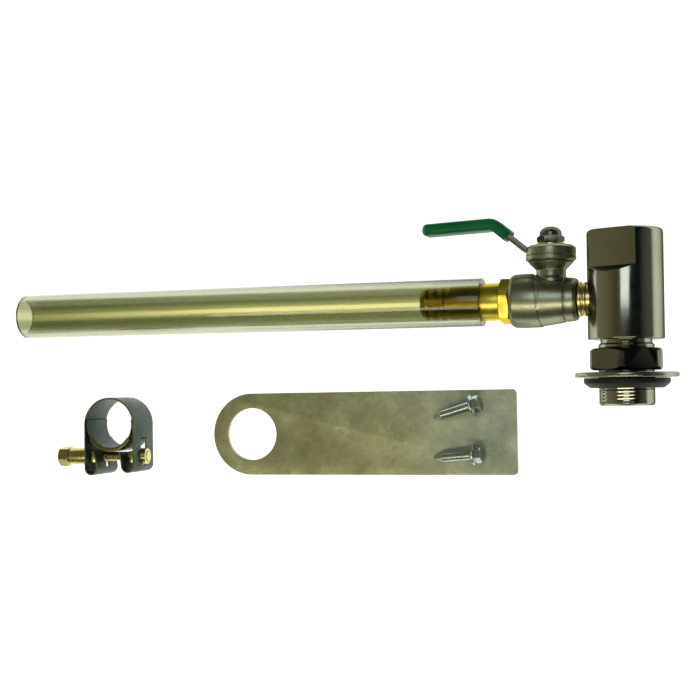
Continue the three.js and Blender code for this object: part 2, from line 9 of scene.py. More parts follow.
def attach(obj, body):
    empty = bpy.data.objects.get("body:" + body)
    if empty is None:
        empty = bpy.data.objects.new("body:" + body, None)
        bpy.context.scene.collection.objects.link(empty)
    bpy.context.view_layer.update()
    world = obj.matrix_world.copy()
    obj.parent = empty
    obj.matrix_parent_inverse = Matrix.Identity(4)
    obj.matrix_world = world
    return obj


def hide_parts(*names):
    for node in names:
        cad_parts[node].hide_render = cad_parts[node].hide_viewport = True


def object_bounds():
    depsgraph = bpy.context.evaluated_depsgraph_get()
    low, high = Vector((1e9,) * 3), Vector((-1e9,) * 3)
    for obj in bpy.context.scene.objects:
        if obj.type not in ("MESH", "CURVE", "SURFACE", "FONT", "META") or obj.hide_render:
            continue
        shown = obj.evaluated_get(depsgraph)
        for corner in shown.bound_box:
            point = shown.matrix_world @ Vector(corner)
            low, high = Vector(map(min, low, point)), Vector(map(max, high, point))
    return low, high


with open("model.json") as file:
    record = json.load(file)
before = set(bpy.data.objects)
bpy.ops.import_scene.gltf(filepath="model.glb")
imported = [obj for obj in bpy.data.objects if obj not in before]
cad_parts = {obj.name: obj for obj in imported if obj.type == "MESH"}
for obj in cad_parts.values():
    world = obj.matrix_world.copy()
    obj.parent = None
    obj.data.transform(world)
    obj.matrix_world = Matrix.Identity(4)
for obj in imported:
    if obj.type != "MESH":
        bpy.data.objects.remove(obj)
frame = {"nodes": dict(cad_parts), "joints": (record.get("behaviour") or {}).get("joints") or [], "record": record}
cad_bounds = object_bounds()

# Looks of the watering wand kit. Lengths are in millimetres in each group's own frame, and MM turns them into
# metres. The wand's frame has X along the tube, Y up the valve stem and its origin where the tube's axis
# crosses the spigot's; the clamp's and the plate's lie flat on the floor.
MM = 0.001
FINE = 112  # sides of a large turned surface
SMALL = 56
AUTO_SMOOTH = math.radians(32)

joints = {j["name"]: j for j in frame["joints"]}
mounts = {m["name"]: m for m in frame["record"]["mounts"]}


def basis(x_axis, y_axis, anchor, local):
    """The matrix of a frame with these axes, in which the point anchor has the local place given in mm."""
    x, y = Vector(x_axis).normalized(), Vector(y_axis).normalized()
    turn = Matrix((x, y, x.cross(y))).transposed()
    origin = Vector(anchor) - turn @ (Vector(local) * MM)
    return Matrix.Translation(origin) @ turn.to_4x4()


STEM_X = -32.6
NUT_DEPTH = 27  # the lock nut's middle is this far below the tube's axis
UP = Vector((0, 0, 1))
bolt_axis = Vector(joints["clamp_bolt_turn"]["axis"])
WAND = basis(
    -Vector(mounts["tube_end_face"]["axis"]),
    joints["lever_turn"]["axis"],
    joints["nut_spin"]["pos_m"],
    (0, -NUT_DEPTH, 0),
)
CLAMP = basis(bolt_axis, UP.cross(bolt_axis), joints["clamp_bolt_turn"]["pos_m"], (-20, -15.9, 11.2))
PLATE = basis(bolt_axis, UP.cross(bolt_axis), mounts["wall_plate_back"]["pos_m"], (60, 0, 0))
ALONG_X = Matrix.Rotation(math.pi / 2, 4, "Y")  # turns a solid of revolution about Z to lie along X
ALONG_Y = Matrix.Rotation(-math.pi / 2, 4, "X")
STEM_FOOT = WAND @ Matrix.Translation((STEM_X * MM, 0, 0))
STEM = STEM_FOOT @ ALONG_Y


# ---- Mesh helpers
def make_object(name, verts, faces, matrix=Matrix()):
    """A mesh object from points in mm, placed by a matrix whose translation is in metres."""
    mesh = bpy.data.meshes.new(name)
    mesh.from_pydata([tuple(matrix @ (Vector(v) * MM)) for v in verts], [], faces)
    mesh.validate()
    obj = bpy.data.objects.new(name, mesh)
    bpy.context.scene.collection.objects.link(obj)
    return obj


def corner_arc(before, corner, after, radius, steps=5):
    """Points of a fillet of the given radius at a corner of a flat outline."""
    a, b, c = Vector(before), Vector(corner), Vector(after)
    u, v = (a - b).normalized(), (c - b).normalized()
    half = math.acos(max(-1, min(1, u.dot(v)))) / 2
    if radius <= 0 or half > math.radians(88):
        return [tuple(b)]
    reach = min(radius / math.tan(half), (a - b).length * 0.48, (c - b).length * 0.48)
    start, end = b + u * reach, b + v * reach
    return [
        tuple(start * (1 - t) ** 2 + b * 2 * t * (1 - t) + end * t * t)
        for t in (i / steps for i in range(steps + 1))
    ]


def rounded(outline, radius=0.3, closed=True, steps=4, on_axis=True):
    """An outline with its corners rounded. A point may carry its own radius as a third value."""
    count, made = len(outline), []
    for i, point in enumerate(outline):
        r = point[2] if len(point) > 2 else radius
        on_end = not closed and i in (0, count - 1)
        if on_end or (on_axis and point[1] < 1e-6):
            made.append(tuple(point[:2]))
            continue
        made += corner_arc(outline[i - 1][:2], point[:2], outline[(i + 1) % count][:2], r, steps)
    return made


def thread_wave(turns):
    """A thread's profile from 0 at its crest to 1 at its root, once a turn."""
    part = turns % 1.0
    return min(1.0, max(0.0, 1.25 - abs(part - 0.5) * 3.4))


def lathe(name, profile, matrix, sides=FINE, thread=None):
    """A closed solid of revolution about Z from a closed loop of (height, radius) points. thread is
    (from, to, pitch, depth): between those heights the outer surface follows a helix."""
    loop = list(profile)
    if thread:
        low, high, pitch, depth = thread
        denser = []
        for i, a in enumerate(loop):
            b = loop[(i + 1) % len(loop)]
            denser.append(a)
            same = abs(a[1] - b[1]) < 1e-6 and a[1] > thread_floor(profile, low, high)
            if same and abs(b[0] - a[0]) > pitch and min(a[0], b[0]) < high and max(a[0], b[0]) > low:
                steps = int(abs(b[0] - a[0]) / pitch * 8)
                denser += [(a[0] + (b[0] - a[0]) * k / steps, a[1]) for k in range(1, steps)]
        loop = denser
    verts, rings = [], []
    for height, radius in loop:
        if radius < 1e-6:
            rings.append([len(verts)])
            verts.append((0, 0, height))
            continue
        rings.append(list(range(len(verts), len(verts) + sides)))
        for k in range(sides):
            angle = 2 * math.pi * k / sides
            r = radius
            if thread and low < height < high and radius > thread_floor(profile, low, high):
                fade = min(1, (height - low) / pitch, (high - height) / pitch)
                r -= depth * fade * thread_wave(height / pitch - k / sides)
            verts.append((r * math.cos(angle), r * math.sin(angle), height))
    faces = []
    for i, ring in enumerate(rings):
        after = rings[(i + 1) % len(rings)]
        if len(ring) == 1 and len(after) == 1:
            continue
        for k in range(sides):
            n = (k + 1) % sides
            if len(ring) == 1:
                faces.append((ring[0], after[n], after[k]))
            elif len(after) == 1:
                faces.append((ring[k], ring[n], after[0]))
            else:
                faces.append((ring[k], ring[n], after[n], after[k]))
    return outward(make_object(name, verts, faces, matrix))


def thread_floor(profile, low, high):
    """The radius above which a point of the profile is on the threaded outside."""
    return max(r for h, r in profile if low - 2 <= h <= high + 2) * 0.86


def outward(obj):
    """Turns every face outwards."""
    bm = bmesh.new()
    bm.from_mesh(obj.data)
    bmesh.ops.remove_doubles(bm, verts=bm.verts, dist=1e-6)
    bmesh.ops.recalc_face_normals(bm, faces=bm.faces)
    bm.to_mesh(obj.data)
    bm.free()
    return obj


def apply_modifiers(obj):
    """Gives an object the mesh that its modifiers make, and takes them off."""
    bpy.context.view_layer.update()
    result = obj.evaluated_get(bpy.context.evaluated_depsgraph_get())
    mesh = bpy.data.meshes.new_from_object(result)
    obj.modifiers.clear()
    old, obj.data = obj.data, mesh
    bpy.data.meshes.remove(old)
    return obj


def carve(obj, operation, *tools):
    """Joins, cuts or crosses an object with others, which are used up."""
    for tool in tools:
        modifier = obj.modifiers.new("carve", "BOOLEAN")
        modifier.operation = operation
        modifier.solver = "EXACT"
        modifier.object = tool
        apply_modifiers(obj)
        bpy.data.objects.remove(tool)
    return obj


def soften(obj, width, segments=3, angle=30):
    """A small bevel along every edge sharper than the angle, applied."""
    modifier = obj.modifiers.new("soften", "BEVEL")
    modifier.width = width * MM
    modifier.segments = segments
    modifier.limit_method = "ANGLE"
    modifier.angle_limit = math.radians(angle)
    modifier.harden_normals = False
    return apply_modifiers(obj)


def rod(radius, low, high, matrix, sides=SMALL):
    """A plain cutter along Z."""
    return lathe("cutter", [(low, 0), (low, radius), (high, radius), (high, 0)], matrix, sides)


def extrude(name, outline, low, high, matrix):
    """A prism along Z over a flat outline."""
    count = len(outline)
    verts = [(x, y, low) for x, y in outline] + [(x, y, high) for x, y in outline]
    sides = [(i, (i + 1) % count, count + (i + 1) % count, count + i) for i in range(count)]
    faces = [tuple(reversed(range(count))), tuple(range(count, 2 * count)), *sides]
    return outward(make_object(name, verts, faces, matrix))


def block(low, high, matrix):
    """A plain rectangular cutter."""
    outline = [(low[0], low[1]), (high[0], low[1]), (high[0], high[1]), (low[0], high[1])]
    return extrude("cutter", outline, low[2], high[2], matrix)


def hexagon(name, across, low, high, matrix, turn=0.0, chamfer=0.13, corner_round=0.2):
    """A hexagonal prism along Z with the round chamfers of a real nut or bolt head."""
    corner = across / math.sqrt(3)
    points = [
        (corner * math.cos(math.radians(60 * i) + turn), corner * math.sin(math.radians(60 * i) + turn))
        for i in range(6)
    ]
    body = extrude(name, rounded(points, corner_round, steps=6, on_axis=False), low, high, matrix)
    drop = corner * chamfer
    bulge = across / 2 * 0.97
    cone = [(low - 1, 0), (low - 1, bulge - 1), (low, bulge), (low + drop, corner + 0.05),
            (high - drop, corner + 0.05), (high, bulge), (high + 1, bulge - 1), (high + 1, 0)]
    return carve(body, "INTERSECT", lathe("cutter", cone, matrix, SMALL))


def sweep(name, path, section, matrix, cap_scales=None):
    """A strip along a path in the XY plane. The section is a loop of (across the path, along Z) points, and
    cap_scales gives a scale of the section at each point of the path."""
    verts, count = [], len(section)
    for i, point in enumerate(path):
        before, after = path[max(i - 1, 0)], path[min(i + 1, len(path) - 1)]
        here = Vector(point)
        one, two = (here - Vector(before)), (Vector(after) - here)
        along = (one.normalized() + two.normalized()).normalized()
        side = Vector((-along.y, along.x))
        scale = cap_scales[i] if cap_scales else (1, 1)
        verts += [
            (here.x + side.x * a * scale[0], here.y + side.y * a * scale[0], z * scale[1]) for a, z in section
        ]
    faces = [tuple(range(count)), tuple(reversed(range(len(verts) - count, len(verts))))]
    for i in range(len(path) - 1):
        for k in range(count):
            n = (k + 1) % count
            faces.append((i * count + k, (i + 1) * count + k, (i + 1) * count + n, i * count + n))
    return outward(make_object(name, verts, faces, matrix))


def arc(centre, radius, start, end, steps):
    """Points along an arc; angles in degrees."""
    return [
        (
            centre[0] + radius * math.cos(math.radians(start + (end - start) * i / steps)),
            centre[1] + radius * math.sin(math.radians(start + (end - start) * i / steps)),
        )
        for i in range(steps + 1)
    ]


def bent(points, radius, steps=10):
    """A line through the points with its inner corners rounded."""
    made = [points[0]]
    for before, corner, after in zip(points, points[1:], points[2:]):
        made += corner_arc(before, corner, after, radius, steps)
    return made + [points[-1]]


def finer(path, step):
    """The same line with points at most a step apart."""
    made = [path[0]]
    for a, b in zip(path, path[1:]):
        pieces = max(1, math.ceil((Vector(b) - Vector(a)).length / step))
        made += [tuple(Vector(a).lerp(Vector(b), k / pieces)) for k in range(1, pieces + 1)]
    return made


def box_section(across, height, radius, low=None):
    """A rounded rectangle section, centred, or standing on low."""
    half = across / 2
    bottom = -height / 2 if low is None else low
    corners = [(-half, bottom), (half, bottom), (half, bottom + height), (-half, bottom + height)]
    count, made = len(corners), []
    for i, corner in enumerate(corners):
        made += corner_arc(corners[i - 1], corner, corners[(i + 1) % count], radius, 3)
    return made


def finish_piece(obj, node, body, material, smooth=AUTO_SMOOTH, also=()):
    """Shades a piece, gives it its material and ties it to its CAD node and body."""
    mesh = obj.data
    mesh.shade_smooth()
    mesh.set_sharp_from_angle(angle=smooth)
    mesh.materials.clear()
    mesh.materials.append(material)
    for polygon in mesh.polygons:
        polygon.material_index = 0
    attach(obj, body)
    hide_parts(node, *also)
    return obj


# ---- Materials
def new_material(name):
    """A new node material: returns it, its tree, its shader, its object coordinates and a maker of nodes."""
    material = bpy.data.materials.new(name)
    material.use_nodes = True
    tree = material.node_tree
    shader = tree.nodes["Principled BSDF"]
    coords = tree.nodes.new("ShaderNodeTexCoord")

    def add(kind, values=None):
        node = tree.nodes.new(kind)
        for key, value in (values or {}).items():
            if key in node.inputs:
                node.inputs[key].default_value = value
            else:
                setattr(node, key, value)
        return node

    return material, tree, shader, coords.outputs["Object"], add


def stretched(add, coords, scale):
    """The coordinates, scaled along each axis."""
    mapping = add("ShaderNodeMapping", {"Scale": scale})
    mapping.id_data.links.new(coords, mapping.inputs["Vector"])
    return mapping.outputs["Vector"]


def noise(add, vector, scale, detail=4.0, rough=0.55):
    """A noise texture's value."""
    node = add("ShaderNodeTexNoise", {"Scale": scale, "Detail": detail, "Roughness": rough})
    node.id_data.links.new(vector, node.inputs["Vector"])
    return node.outputs["Fac"]


def set_stops(node, stops):
    """Fills a colour ramp node with (position, colour) stops."""
    elements = node.color_ramp.elements
    while len(elements) < len(stops):
        elements.new(0.5)
    for element, (position, colour) in zip(elements, stops):
        element.position = position
        element.color = (*colour, 1)


def ramp(add, factor, stops):
    """A colour from (position, colour) stops."""
    node = add("ShaderNodeValToRGB")
    node.id_data.links.new(factor, node.inputs["Fac"])
    set_stops(node, stops)
    return node.outputs["Color"]


def spread(add, factor, low, high, start=0.3, end=0.7):
    """A value that goes from low to high as the factor goes from start to end."""
    node = add("ShaderNodeMapRange", {"From Min": start, "From Max": end, "To Min": low, "To Max": high})
    node.id_data.links.new(factor, node.inputs["Value"])
    return node.outputs["Result"]


def mixed(add, factor, first, second):
    """The first colour where the factor is 0 and the second where it is 1, which may be a plain colour."""
    node = add("ShaderNodeMix", {"data_type": "RGBA"})
    links = node.id_data.links
    links.new(factor, node.inputs["Factor"])
    links.new(first, node.inputs["A"])
    if isinstance(second, tuple):
        node.inputs["B"].default_value = (*second, 1)
    else:
        links.new(second, node.inputs["B"])
    return node.outputs["Result"]


def weighted(add, value, weight, other):
    """A value times its weight, plus another value."""
    node = add("ShaderNodeMath", {"operation": "MULTIPLY_ADD"})
    node.id_data.links.new(value, node.inputs[0])
    node.inputs[1].default_value = weight
    node.id_data.links.new(other, node.inputs[2])
    return node.outputs["Value"]


def component(add, vector, axis):
    """One component of a vector."""
    node = add("ShaderNodeSeparateXYZ")
    node.id_data.links.new(vector, node.inputs["Vector"])
    return node.outputs[axis]


def relief(add, shader, height, strength, depth=0.0002):
    """Gives the shader a fine bump; the depth is in metres."""
    node = add("ShaderNodeBump", {"Strength": strength, "Distance": depth})
    node.id_data.links.new(height, node.inputs["Height"])
    node.id_data.links.new(node.outputs["Normal"], shader.inputs["Normal"])


def metal(name, dark, light, rough, grain=(1, 1, 1), scale=500.0, bump=0.02, spots=None, edge=(1, 1, 1)):
    """A metal whose gloss, from rough (low, high), varies over a grain and whose colour varies in clouds.
    spots is the colour of its tarnish, and edge its tint at grazing angles."""
    material, tree, shader, coords, add = new_material(name)
    vector = stretched(add, coords, grain)
    fine = noise(add, vector, scale)
    broad = noise(add, coords, scale * 0.09, 3.0)
    colour = ramp(add, broad, [(0.3, dark), (0.7, light)])
    if spots:
        mask = spread(add, noise(add, coords, scale * 0.3, 6.0, 0.7), 0, 1, 0.56, 0.72)
        colour = mixed(add, mask, colour, spots)
    tree.links.new(colour, shader.inputs["Base Color"])
    tree.links.new(spread(add, fine, *rough), shader.inputs["Roughness"])
    shader.inputs["Metallic"].default_value = 1.0
    shader.inputs["Specular Tint"].default_value = (*edge, 1)
    relief(add, shader, fine, bump, 0.0001)
    return material


def sheet_zinc():
    """Dark grey-green zinc plate whose cut edges, which face along the ring, carry a painted yellow reflection."""
    material, tree, shader, coords, add = new_material("dark_zinc_sheet")
    cloud = noise(add, coords, 60.0, 5.0, 0.65)
    fine = noise(add, coords, 420.0)
    face = ramp(add, cloud, [
        (0.32, (0.018, 0.036, 0.026)), (0.52, (0.045, 0.075, 0.056)), (0.7, (0.085, 0.12, 0.09)),
    ])
    # Painted reflection: a warm yellow on the faces that point along the ring's axis, which are the cut edges.
    edge = ramp(add, cloud, [(0.35, (0.13, 0.12, 0.045)), (0.65, (0.27, 0.26, 0.11))])
    upright = add("ShaderNodeMath", {"operation": "ABSOLUTE"})
    normal = add("ShaderNodeTexCoord").outputs["Normal"]
    tree.links.new(component(add, normal, "Z"), upright.inputs[0])
    colour = mixed(add, spread(add, upright.outputs["Value"], 0, 1, 0.4, 0.8), face, edge)
    tree.links.new(colour, shader.inputs["Base Color"])
    tree.links.new(spread(add, fine, 0.30, 0.46), shader.inputs["Roughness"])
    shader.inputs["Metallic"].default_value = 0.55
    shader.inputs["Specular IOR Level"].default_value = 0.2
    relief(add, shader, fine, 0.08)
    return material


def galvanised_steel():
    """Zinc spangle: small crystals of slightly different greys, cloudy, and bluer towards the square end."""
    material, tree, shader, coords, add = new_material("galvanised_steel")
    cells = add("ShaderNodeTexVoronoi", {"Scale": 420.0, "Randomness": 1.0})
    tree.links.new(coords, cells.inputs["Vector"])
    tone = add("ShaderNodeRGBToBW")
    tree.links.new(cells.outputs["Color"], tone.inputs["Color"])
    cloud = noise(add, coords, 55.0, 6.0, 0.62)
    rub = noise(add, stretched(add, coords, (30, 300, 60)), 5.0, 6.0, 0.7)
    value = weighted(add, rub, 0.22, weighted(add, tone.outputs["Val"], 0.13, cloud))
    olive = ramp(add, value, [
        (0.48, (0.32, 0.33, 0.18)), (0.68, (0.41, 0.42, 0.245)), (0.90, (0.56, 0.57, 0.36)),
    ])
    blue = ramp(add, value, [
        (0.48, (0.34, 0.40, 0.32)), (0.68, (0.46, 0.52, 0.42)), (0.90, (0.62, 0.66, 0.50)),
    ])
    along = weighted(add, noise(add, coords, 24.0, 3.0), 0.06, component(add, coords, "X"))
    colour = mixed(add, spread(add, along, 0, 1, 0.055, 0.115), olive, blue)
    tree.links.new(colour, shader.inputs["Base Color"])
    tree.links.new(spread(add, value, 0.62, 0.46, 0.5, 0.9), shader.inputs["Roughness"])
    shader.inputs["Metallic"].default_value = 0.55
    relief(add, shader, value, 0.10)
    return material


def clear_tube_material():
    """Clear yellow-green tube wall, with painted highlight and shade in soft bands along the tube that follow
    which way the wall faces, one set for each end.
    """
    material, tree, shader, coords, add = new_material("clear_tube_wall")
    lines = noise(add, stretched(add, coords, (3, 260, 260)), 2.0, 4.0)
    normal = add("ShaderNodeTexCoord").outputs["Normal"]
    # Painted light: bright and dark bands across the tube, set by the side each part of the wall faces.
    across = spread(add, weighted(add, lines, 0.16, component(add, normal, "Y")), 0, 1, -0.92, 1.08)
    free_end_painted_light = ramp(add, across, [
        (0.02, (0.52, 0.54, 0.43)), (0.14, (0.48, 0.50, 0.38)), (0.19, (0.28, 0.31, 0.155)),
        (0.38, (0.32, 0.35, 0.18)), (0.43, (0.50, 0.52, 0.28)), (0.55, (0.51, 0.52, 0.31)),
        (0.66, (0.335, 0.36, 0.205)), (0.96, (0.34, 0.36, 0.23)),
    ])
    barb_end_painted_light = ramp(add, across, [
        (0.02, (0.50, 0.52, 0.42)), (0.14, (0.48, 0.50, 0.40)), (0.19, (0.30, 0.33, 0.19)),
        (0.38, (0.33, 0.35, 0.20)), (0.43, (0.99, 0.96, 0.62)), (0.56, (0.99, 0.95, 0.62)),
        (0.67, (0.42, 0.44, 0.26)), (0.96, (0.42, 0.44, 0.30)),
    ])
    # Towards the barb the bands give way to a brighter painted highlight, where the brass shows through.
    toward_barb = spread(add, component(add, coords, "X"), 0, 1, -0.17, -0.04)
    tree.links.new(mixed(add, toward_barb, free_end_painted_light, barb_end_painted_light), shader.inputs["Base Color"])
    tree.links.new(spread(add, lines, 0.03, 0.09), shader.inputs["Roughness"])
    shader.inputs["Transmission Weight"].default_value = 1.0
    shader.inputs["IOR"].default_value = 1.46
    relief(add, shader, lines, 0.08)
    return material


def plastic(name, dark, light, rough, scale, bump, specular=0.5):
    """A plastic or rubber with slight colour clouds, its own gloss and a fine surface."""
    material, tree, shader, coords, add = new_material(name)
    cloud = noise(add, coords, scale * 0.12, 3.0)
    fine = noise(add, coords, scale, 5.0, 0.6)
    tree.links.new(ramp(add, cloud, [(0.3, dark), (0.7, light)]), shader.inputs["Base Color"])
    tree.links.new(spread(add, fine, *rough), shader.inputs["Roughness"])
    shader.inputs["Specular IOR Level"].default_value = specular
    relief(add, shader, fine, bump)
    return material


chrome = metal("polished_chrome", (0.31, 0.32, 0.26), (0.38, 0.39, 0.32), (0.12, 0.18),
               scale=260.0, bump=0.008, edge=(0.12, 0.13, 0.09))
dark_chrome = metal("dark_chrome", (0.15, 0.15, 0.14), (0.22, 0.22, 0.20), (0.12, 0.18),
                    scale=300.0, bump=0.01, edge=(0.22, 0.23, 0.18))
nickel = metal("matte_nickel", (0.31, 0.33, 0.245), (0.38, 0.40, 0.30), (0.31, 0.38),
               scale=900.0, bump=0.03, spots=(0.24, 0.24, 0.17), edge=(0.22, 0.22, 0.17))
dark_nickel = metal("dark_nickel", (0.13, 0.135, 0.11), (0.20, 0.21, 0.17), (0.26, 0.36),
                    scale=700.0, bump=0.04, edge=(0.25, 0.25, 0.2))
dull_brass = metal("dull_brass", (0.50, 0.42, 0.19), (0.68, 0.58, 0.28), (0.24, 0.34),
                   scale=240.0, bump=0.05, spots=(0.16, 0.11, 0.06), edge=(0.35, 0.3, 0.22))
brass = metal("turned_brass", (0.70, 0.54, 0.06), (0.80, 0.65, 0.10), (0.28, 0.38), grain=(9, 1, 1),
              scale=240.0, bump=0.05, spots=(0.62, 0.46, 0.10), edge=(0.7, 0.6, 0.3))
yellow_zinc = metal("yellow_zinc", (0.50, 0.46, 0.18), (0.72, 0.66, 0.30), (0.22, 0.36),
                    scale=500.0, bump=0.08, spots=(0.40, 0.30, 0.14))
washer_steel = metal("washer_steel", (0.30, 0.31, 0.26), (0.40, 0.41, 0.35), (0.20, 0.30),
                     scale=300.0, bump=0.015, edge=(0.5, 0.5, 0.44))
strip_steel = metal("lever_steel", (0.15, 0.16, 0.13), (0.25, 0.26, 0.22), (0.28, 0.42), grain=(1, 6, 1),
                    scale=300.0, bump=0.04, spots=(0.15, 0.10, 0.06), edge=(0.4, 0.4, 0.35))
screw_zinc = metal("screw_zinc", (0.36, 0.44, 0.43), (0.52, 0.61, 0.60), (0.24, 0.38),
                   scale=600.0, bump=0.05)
dark_sheet = sheet_zinc()
galvanised = galvanised_steel()
tube_wall = clear_tube_material()
green_vinyl = plastic("green_vinyl", (0.0003, 0.135, 0.046), (0.0006, 0.190, 0.066), (0.38, 0.50),
                      700.0, 0.04, specular=0.22)
black_rubber = plastic("black_rubber", (0.005, 0.007, 0.006), (0.010, 0.012, 0.011), (0.5, 0.66),
                       900.0, 0.08, specular=0.3)
white_seal = plastic("white_seal", (0.72, 0.72, 0.66), (0.82, 0.82, 0.77), (0.42, 0.55), 500.0, 0.04)


# ---- The tube and its barb
def build_tube():
    wall = rounded([(-303, 8), (-303, 11), (-63.9, 11), (-63.9, 8)], 0.25)
    obj = lathe("tube_wall", wall, WAND @ ALONG_X)
    finish_piece(obj, "clear_tube", "wand", tube_wall)


def build_barb():
    rib_pitch, ribs = 3.9, []
    for i in range(3):
        x = -92.2 + i * rib_pitch
        ribs += [(x, 6.6 if i else 5.9, 0.5), (x + 2.9, 7.6, 0.25), (x + 3.3, 7.6, 0.2), (x + 3.5, 6.6, 0.1)]
    profile = [
        *ribs,
        (-80.3, 6.2, 0.2), (-78.9, 6.2, 0.2), (-78.6, 7.3, 0.2), (-63.6, 7.3, 0.1), (-63.6, 8.5, 0.3),
        (-55.6, 8.5, 0.3), (-55.6, 7.6, 0.1), (-44, 7.5, 0.4), (-44, 4.5, 0.2), (-92.2, 4.5, 0.5),
    ]
    turned = lathe("barb_metal", rounded(profile), WAND @ ALONG_X)
    hexagonal = hexagon("hex", 18.4, -55.4, -50.7, WAND @ ALONG_X, math.radians(48), 0.05)
    carve(hexagonal, "DIFFERENCE", rod(6, -58, -50, WAND @ ALONG_X))
    soften(carve(turned, "UNION", hexagonal), 0.18, 2, 40)
    finish_piece(turned, "hose_barb", "wand", brass)


# ---- The ball valve
JOINT_SLANT = math.radians(6.5)


def joint_plane(side, reach=30):
    """A cutter that fills one side of the slanted joint between the cap and the body."""
    place = WAND @ Matrix.Translation((-38.4 * MM, 0, 0)) @ Matrix.Rotation(JOINT_SLANT, 4, "Z")
    gap = 0.16
    low, high = (gap, reach) if side > 0 else (-reach, -gap)
    return block((low, -reach, -reach), (high, reach, reach), place)


def build_valve():
    cap_profile = [
        (-50.4, 7.8, 0.2), (-50.4, 11, 0.6), (-48.8, 12, 1), (-44, 12.2, 2), (-38, 12.1, 1), (-34, 11.9, 0.3),
        (-34, 9.6, 0.1), (-42.6, 9.6, 0.2), (-42.6, 7.8, 0.2),
    ]
    cap = lathe("valve_cap_metal", rounded(cap_profile), WAND @ ALONG_X)
    carve(cap, "DIFFERENCE", joint_plane(1), rod(8.1, 9, 20, STEM))
    soften(cap, 0.28, 3, 38)
    finish_piece(cap, "valve_end_cap", "wand", nickel)

    barrel_profile = [
        (-42, 7.3, 0.1), (-42, 11.6, 0.3), (-36, 11.6, 2), (-29, 10.6, 1), (-26.5, 10.2, 0.2),
        (-26.2, 9.5, 0.1), (-25.8, 9.5, 0.1), (-25.5, 9.95, 0.2), (-22.2, 9.6, 0.4), (-20.8, 9, 0.5),
        (-20.8, 6.9, 0.2), (-24.6, 6.9, 0.1), (-24.6, 4.6, 0.1), (-25.4, 4.6, 0.1), (-25.4, 7.3, 0.1),
    ]
    barrel = lathe("valve_barrel_metal", rounded(barrel_profile), WAND @ ALONG_X)
    neck_profile = [
        (7.8, 0), (7.8, 7.4, 0.1), (9.6, 7.1, 0.8), (10.8, 6.6, 0.8), (13.6, 6.6, 0.5), (16.7, 9.8, 0.2),
        (17, 9.8, 0.1), (17, 4.9, 0.2), (11.6, 4.9, 0.1), (11.6, 3.4, 0.1), (9.3, 3.4, 0.1), (9.3, 0),
    ]
    neck = lathe("neck", rounded(neck_profile), STEM)
    carve(barrel, "DIFFERENCE", joint_plane(-1))
    carve(barrel, "UNION", neck)
    carve(barrel, "DIFFERENCE", rod(7.3, -43, -25.6, WAND @ ALONG_X), rod(3.4, 5, 14, STEM))
    soften(barrel, 0.22, 3, 40)
    finish_piece(barrel, "valve_body", "wand", nickel)


LEVER_ROOT, LEVER_BEND, LEVER_TIP = (-10.4, 22.4), (-25.5, 35.1), (-56.7, 33.9)
LEVER_CURVE = 4.5


def build_handle():
    cup_profile = [
        (17.3, 3, 0.1), (17.3, 10.2, 0.1), (18.2, 11.15, 0.3), (19.7, 11.2, 0.2), (19.95, 10.9, 0.1),
        (20.2, 10.9, 0.1), (20.45, 11.15, 0.1), (23.4, 11.15, 0.5), (24.5, 9.6, 0.5), (24.5, 8.5, 0.2),
        (20.8, 8.5, 0.2), (20.8, 3, 0.1),
    ]
    cup = lathe("handle_cup_metal", rounded(cup_profile), STEM)
    carve(cup, "DIFFERENCE", block((-15, 20.8, -4.85), (0, 30, 4.85), STEM_FOOT))
    soften(cup, 0.25, 3, 38)
    finish_piece(cup, "handle_hub", "lever", nickel)

    steel_line = bent([(-6, 22.4), LEVER_ROOT, LEVER_BEND, LEVER_TIP], LEVER_CURVE)
    arm = sweep("lever_strip_metal", steel_line, box_section(2.6, 9, 0.5), STEM_FOOT)
    eye_profile = rounded([(21.1, 3), (21.1, 7.9, 0.3), (23.7, 7.9, 0.4), (23.7, 3)], 0.1)
    eye = lathe("eye", eye_profile, STEM, SMALL)
    carve(arm, "UNION", eye)
    carve(arm, "DIFFERENCE", rod(3, 20, 25, STEM))
    finish_piece(arm, "lever_strip", "lever", strip_steel)

    build_sleeve(STEM_FOOT)

    washer_profile = rounded([(24, 3), (24, 6.6), (25.5, 6.6), (25.5, 3)], 0.25)
    washer = lathe("handle_washer_metal", washer_profile, STEM, SMALL)
    finish_piece(washer, "handle_washer", "lever", yellow_zinc)

    nut = hexagon("handle_nut_metal", 10.8, 25.8, 28.9, STEM, math.radians(12))
    dome_base, dome_rise, dome_radius, steps = 30, 3.1, 4.9, 12
    angles = [math.pi / 2 * k / steps for k in range(1, steps)]
    dome_profile = [(27.5, 0), (27.5, dome_radius), (dome_base, dome_radius)]
    dome_profile += [(dome_base + dome_rise * math.sin(t), dome_radius * math.cos(t)) for t in angles]
    dome_profile += [(dome_base + dome_rise, 0)]
    carve(nut, "UNION", lathe("dome", dome_profile, STEM, SMALL))
    carve(nut, "DIFFERENCE", rod(2.85, 25, 30.3, STEM))
    soften(nut, 0.16, 2, 32)
    finish_piece(nut, "handle_nut", "lever", dark_nickel)


